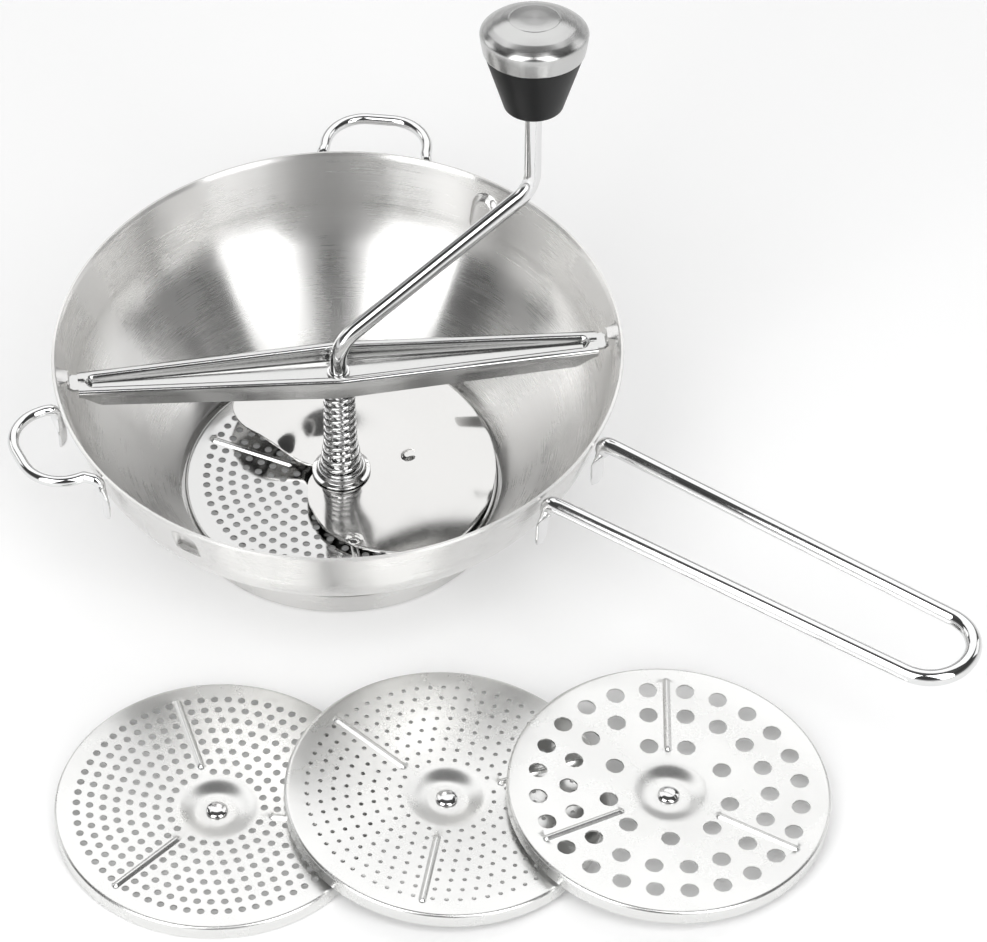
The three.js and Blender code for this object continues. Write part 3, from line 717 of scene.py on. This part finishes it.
def disc_height(x, y):
    """Upper face of a disc: a shallow dish with a well in its middle, and three ribs."""
    r = hypot(x, y)
    z = -DISH * clamp((FLAT_R - r) / (FLAT_R - DISH_R + 2))
    z -= (WELL - DISH) * (1 - smoothstep(r, WELL_R - 1, DISH_R - 1))
    turn = (atan2(y, x) % radians(120) + radians(60)) % radians(120) - radians(60)
    along, across = r * cos(turn), abs(r * sin(turn))
    if RIB_IN - 2 < along < RIB_OUT + 1 and across < RIB_HALF:
        end = smoothstep(along, RIB_IN - 1.5, RIB_IN + 1)
        end *= 1 - smoothstep(along, RIB_OUT - 1, RIB_OUT + 0.8)
        z += RIB_H * end * cos(across / RIB_HALF * pi / 2) ** 1.2
    return z


def circle(radius, count, x=0.0, y=0.0, phase=0.0):
    return [(x + radius * cos(2 * pi * k / count + phase), y + radius * sin(2 * pi * k / count + phase))
            for k in range(count)]


def make_disc(name, node, body, holes, place, turn):
    """A sieve disc: its pierced and ribbed face as a triangulated sheet, then its rim and skirt."""
    around, stud_hole, big_hole, cell = 180, 3.0, 3, 8
    points, edges = [], []

    def loop(ring):
        base = len(points)
        points.extend(Vector(p) for p in ring)
        edges.extend((base + k, base + (k + 1) % len(ring)) for k in range(len(ring)))

    for radius in (65.4, 64.6, 62.5, 61.4):
        loop(circle(radius, around))
    for radius in (stud_hole, 5.5, 7.5, 8.5, 9.5, 10.5, 11.5, 12.5, 13.5, 14.5, 15.5, 16.5, 17.4):
        loop(circle(radius, 72))
    for third in range(3):
        c, s = cos(radians(120 * third)), sin(radians(120 * third))
        for across in (-1.6, -1.2, -0.8, -0.4, 0, 0.4, 0.8, 1.2, 1.6):
            base = len(points)
            stops = [RIB_IN - 1.6 + 0.6 * k for k in range(6)]
            stops += [lerp(RIB_IN + 2, RIB_OUT - 2, k / 16) for k in range(17)]
            stops += [RIB_OUT - 1.4 + 0.5 * k for k in range(5)]
            points.extend(Vector((u * c - across * s, u * s + across * c)) for u in stops)
            edges.extend((base + k, base + k + 1) for k in range(len(stops) - 1))
    cells = {}
    sides = 24 if holes[0][2] > big_hole else 14
    for x, y, r in holes:
        loop(circle(r, sides, x, y))
        cells.setdefault((int(x // cell), int(y // cell)), []).append((x, y, r))

    def in_hole(x, y):
        if hypot(x, y) < stud_hole - 0.05:
            return True
        i, j = int(x // cell), int(y // cell)
        return any(
            hypot(x - hx, y - hy) < hr * 0.97
            for di in (-1, 0, 1) for dj in (-1, 0, 1)
            for hx, hy, hr in cells.get((i + di, j + dj), ()))

    found, _, triangles, *_ = delaunay_2d_cdt(points, edges, [], 0, 1e-5)
    verts = [(p.x, p.y, disc_height(p.x, p.y)) for p in found]
    faces = []
    for tri in triangles:
        x = sum(found[i].x for i in tri) / len(tri)
        y = sum(found[i].y for i in tri) / len(tri)
        if not in_hole(x, y):
            faces.append(tuple(tri))
    skirt_r = DISC_R - 0.05
    rim = [(65.4, 0), (65.9, -0.07), (66.35, -0.28), (66.7, -0.62), (66.88, -1.05), (skirt_r, -1.6),
           (skirt_r, -3.8), (skirt_r, -SKIRT + 0.05)]
    base = len(verts)
    for r, z in rim:
        verts.extend((x, y, z) for x, y in circle(r, around))
    faces += [tuple(base + i for i in f) for f in grid_faces(len(rim), around, close_columns=True)]
    disc = make(name, verts, faces, sharp=40, place=place, turn=turn)
    thicken(disc, SHEET, -1.0)
    # The fitted disc gets the darker copy: painted shade for its place inside the bowl.
    return finish(disc, SHADED_DISC if node == "disc_fitted" else DISC, body, node)


def make_stud(name, node, body, place):
    """A disc's centre stud, its shank through the well and its head below."""
    low = -WELL - SHEET - 0.3
    outline = rounded([
        (0, 2.1 - WELL), (2.4, 1.9 - WELL), (STUD_R - 0.5, 1.3 - WELL), (STUD_R, 0.8 - WELL),
        (STUD_R, 0.3 - WELL), (2, 0.3 - WELL), (2, low), (3.6, low), (3.6, low - 0.5), (0, low - 0.5)],
        0.3, 3, closed=False)
    return finish(turned(name, outline, 64, closed=False, place=place), WIRE, body, node)


def make_discs():
    place = Matrix.Translation((0, 0, DISC_TOP * MM))
    make_disc("sieve_fitted", "disc_fitted", "bowl_body", MEDIUM, place, 38)
    make_stud("stud_fitted", "disc_fitted_stud", "bowl_body", place)
    patterns = {"disc_medium": MEDIUM, "disc_fine": FINE, "disc_coarse": COARSE}
    for node, at in LOOSE.items():
        kind = node.split("_")[1]
        place = (Matrix.Translation(Vector((at["x"], at["y"], SKIRT + at["lift"])) * MM)
                 @ Matrix.Rotation(radians(at["tilt"]), 4, "Y"))
        make_disc(f"sieve_{kind}", node, kind, patterns[node], place, at["turn"])
        make_stud(f"stud_{kind}", f"{node}_stud", kind, place)


# ---- floor, light and camera -------------------------------------------------------
def make_floor():
    mesh = bpy.data.meshes.new("floor")
    size = 6.0
    corners = [(-size, -size, 0), (size, -size, 0), (size, size, 0), (-size, size, 0)]
    mesh.from_pydata(corners, [], [(0, 1, 2, 3)])
    floor = bpy.data.objects.new("floor", mesh)
    floor.location.z = -0.0005
    bpy.context.scene.collection.objects.link(floor)
    n = Nodes("floor_paper")
    n.shader.inputs["Base Color"].default_value = (0.93, 0.93, 0.93, 1)
    n.shader.inputs["Roughness"].default_value = 0.8
    n.shader.inputs["Specular IOR Level"].default_value = 0.1
    n.shader.inputs["Emission Color"].default_value = (1, 1, 1, 1)
    n.shader.inputs["Emission Strength"].default_value = 0.1
    mesh.materials.append(n.material)


def area_light(name, at, aim, size, power):
    light = bpy.data.lights.new(name, "AREA")
    light.shape = "RECTANGLE"
    light.size, light.size_y = size
    light.energy = power
    obj = bpy.data.objects.new(name, light)
    obj.location = Vector(at)
    obj.rotation_euler = (Vector(aim) - Vector(at)).to_track_quat("-Z", "Y").to_euler()
    bpy.context.scene.collection.objects.link(obj)


def make_world():
    world = bpy.data.worlds.new("studio")
    world.use_nodes = True
    bpy.context.scene.world = world
    tree = world.node_tree
    coord = tree.nodes.new("ShaderNodeTexCoord")
    axes = tree.nodes.new("ShaderNodeSeparateXYZ")
    ramp = tree.nodes.new("ShaderNodeValToRGB")
    tree.links.new(coord.outputs["Generated"], axes.inputs[0])
    tree.links.new(axes.outputs["Z"], ramp.inputs["Fac"])
    stops = [(0.0, 0.9), (0.1, 0.8), (0.24, 0.12), (0.6, 0.05), (1.0, 0.1)]
    elements = ramp.color_ramp.elements
    elements[0].position, elements[0].color = stops[0][0], (*[stops[0][1]] * 3, 1)
    elements[1].position, elements[1].color = stops[-1][0], (*[stops[-1][1]] * 3, 1)
    for position, value in stops[1:-1]:
        elements.new(position).color = (value, value, value, 1)
    background = tree.nodes["Background"]
    tree.links.new(ramp.outputs["Color"], background.inputs["Color"])
    background.inputs["Strength"].default_value = 1.0


def softbox(name, turn, elevation, distance, size, radiance):
    """A light panel facing the bowl. turn is in degrees from the front towards +X."""
    a, e = radians(turn - 90), radians(elevation)
    at = AXIS + Vector((cos(a) * cos(e), sin(a) * cos(e), sin(e))) * distance
    area_light(name, at, AXIS, size, radiance * pi * size[0] * size[1])


def make_camera():
    """The viewing angle: looking down at 46.5 degrees, from far off, turned by a hair."""
    pitch, roll = radians(46.517), radians(-0.586)
    side, back, height = 64.9, -2239.5, 2286.3
    forward = Vector((0, cos(pitch), -sin(pitch)))
    right, up = Vector((1, 0, 0)), Vector((0, sin(pitch), cos(pitch)))
    right, up = right * cos(roll) + up * sin(roll), up * cos(roll) - right * sin(roll)
    place = Matrix((right, up, -forward)).transposed().to_4x4()
    place.translation = AXIS + Vector((side, back, height + RIM_Z)) * MM
    data = bpy.data.cameras.new("camera")
    data.lens, data.sensor_width, data.clip_end = 278.0, 36.0, 50.0
    camera = bpy.data.objects.new("camera", data)
    bpy.context.scene.collection.objects.link(camera)
    camera.matrix_world = place
    bpy.context.scene.camera = camera


make_camera()
make_floor()
make_world()
softbox("front_right", 38, 40, 1.8, (0.8, 2.2), 3.0)
softbox("front_left", -36, 40, 1.8, (1.0, 2.2), 3.0)
softbox("back_high", 180, 50, 2.4, (3.4, 2.2), 1.25)
softbox("back_left", -115, 25, 2.4, (1.0, 1.0), 1.2)
softbox("back_right", 115, 25, 2.4, (1.0, 1.0), 1.2)
bpy.context.scene.view_settings.view_transform = "Standard"

make_bowl()
make_base_ring()
make_long_handle()
make_loop("loop_left", "left_loop", -155, 5, 1)
make_loop("loop_back", "back_loop", 82.9, 1, -1)
make_crossbar()
make_tongues()
make_eyelet()
make_top_washer()
make_spring()
make_seat()
make_hub()
make_blade()
make_rod()
make_knob()
make_discs()
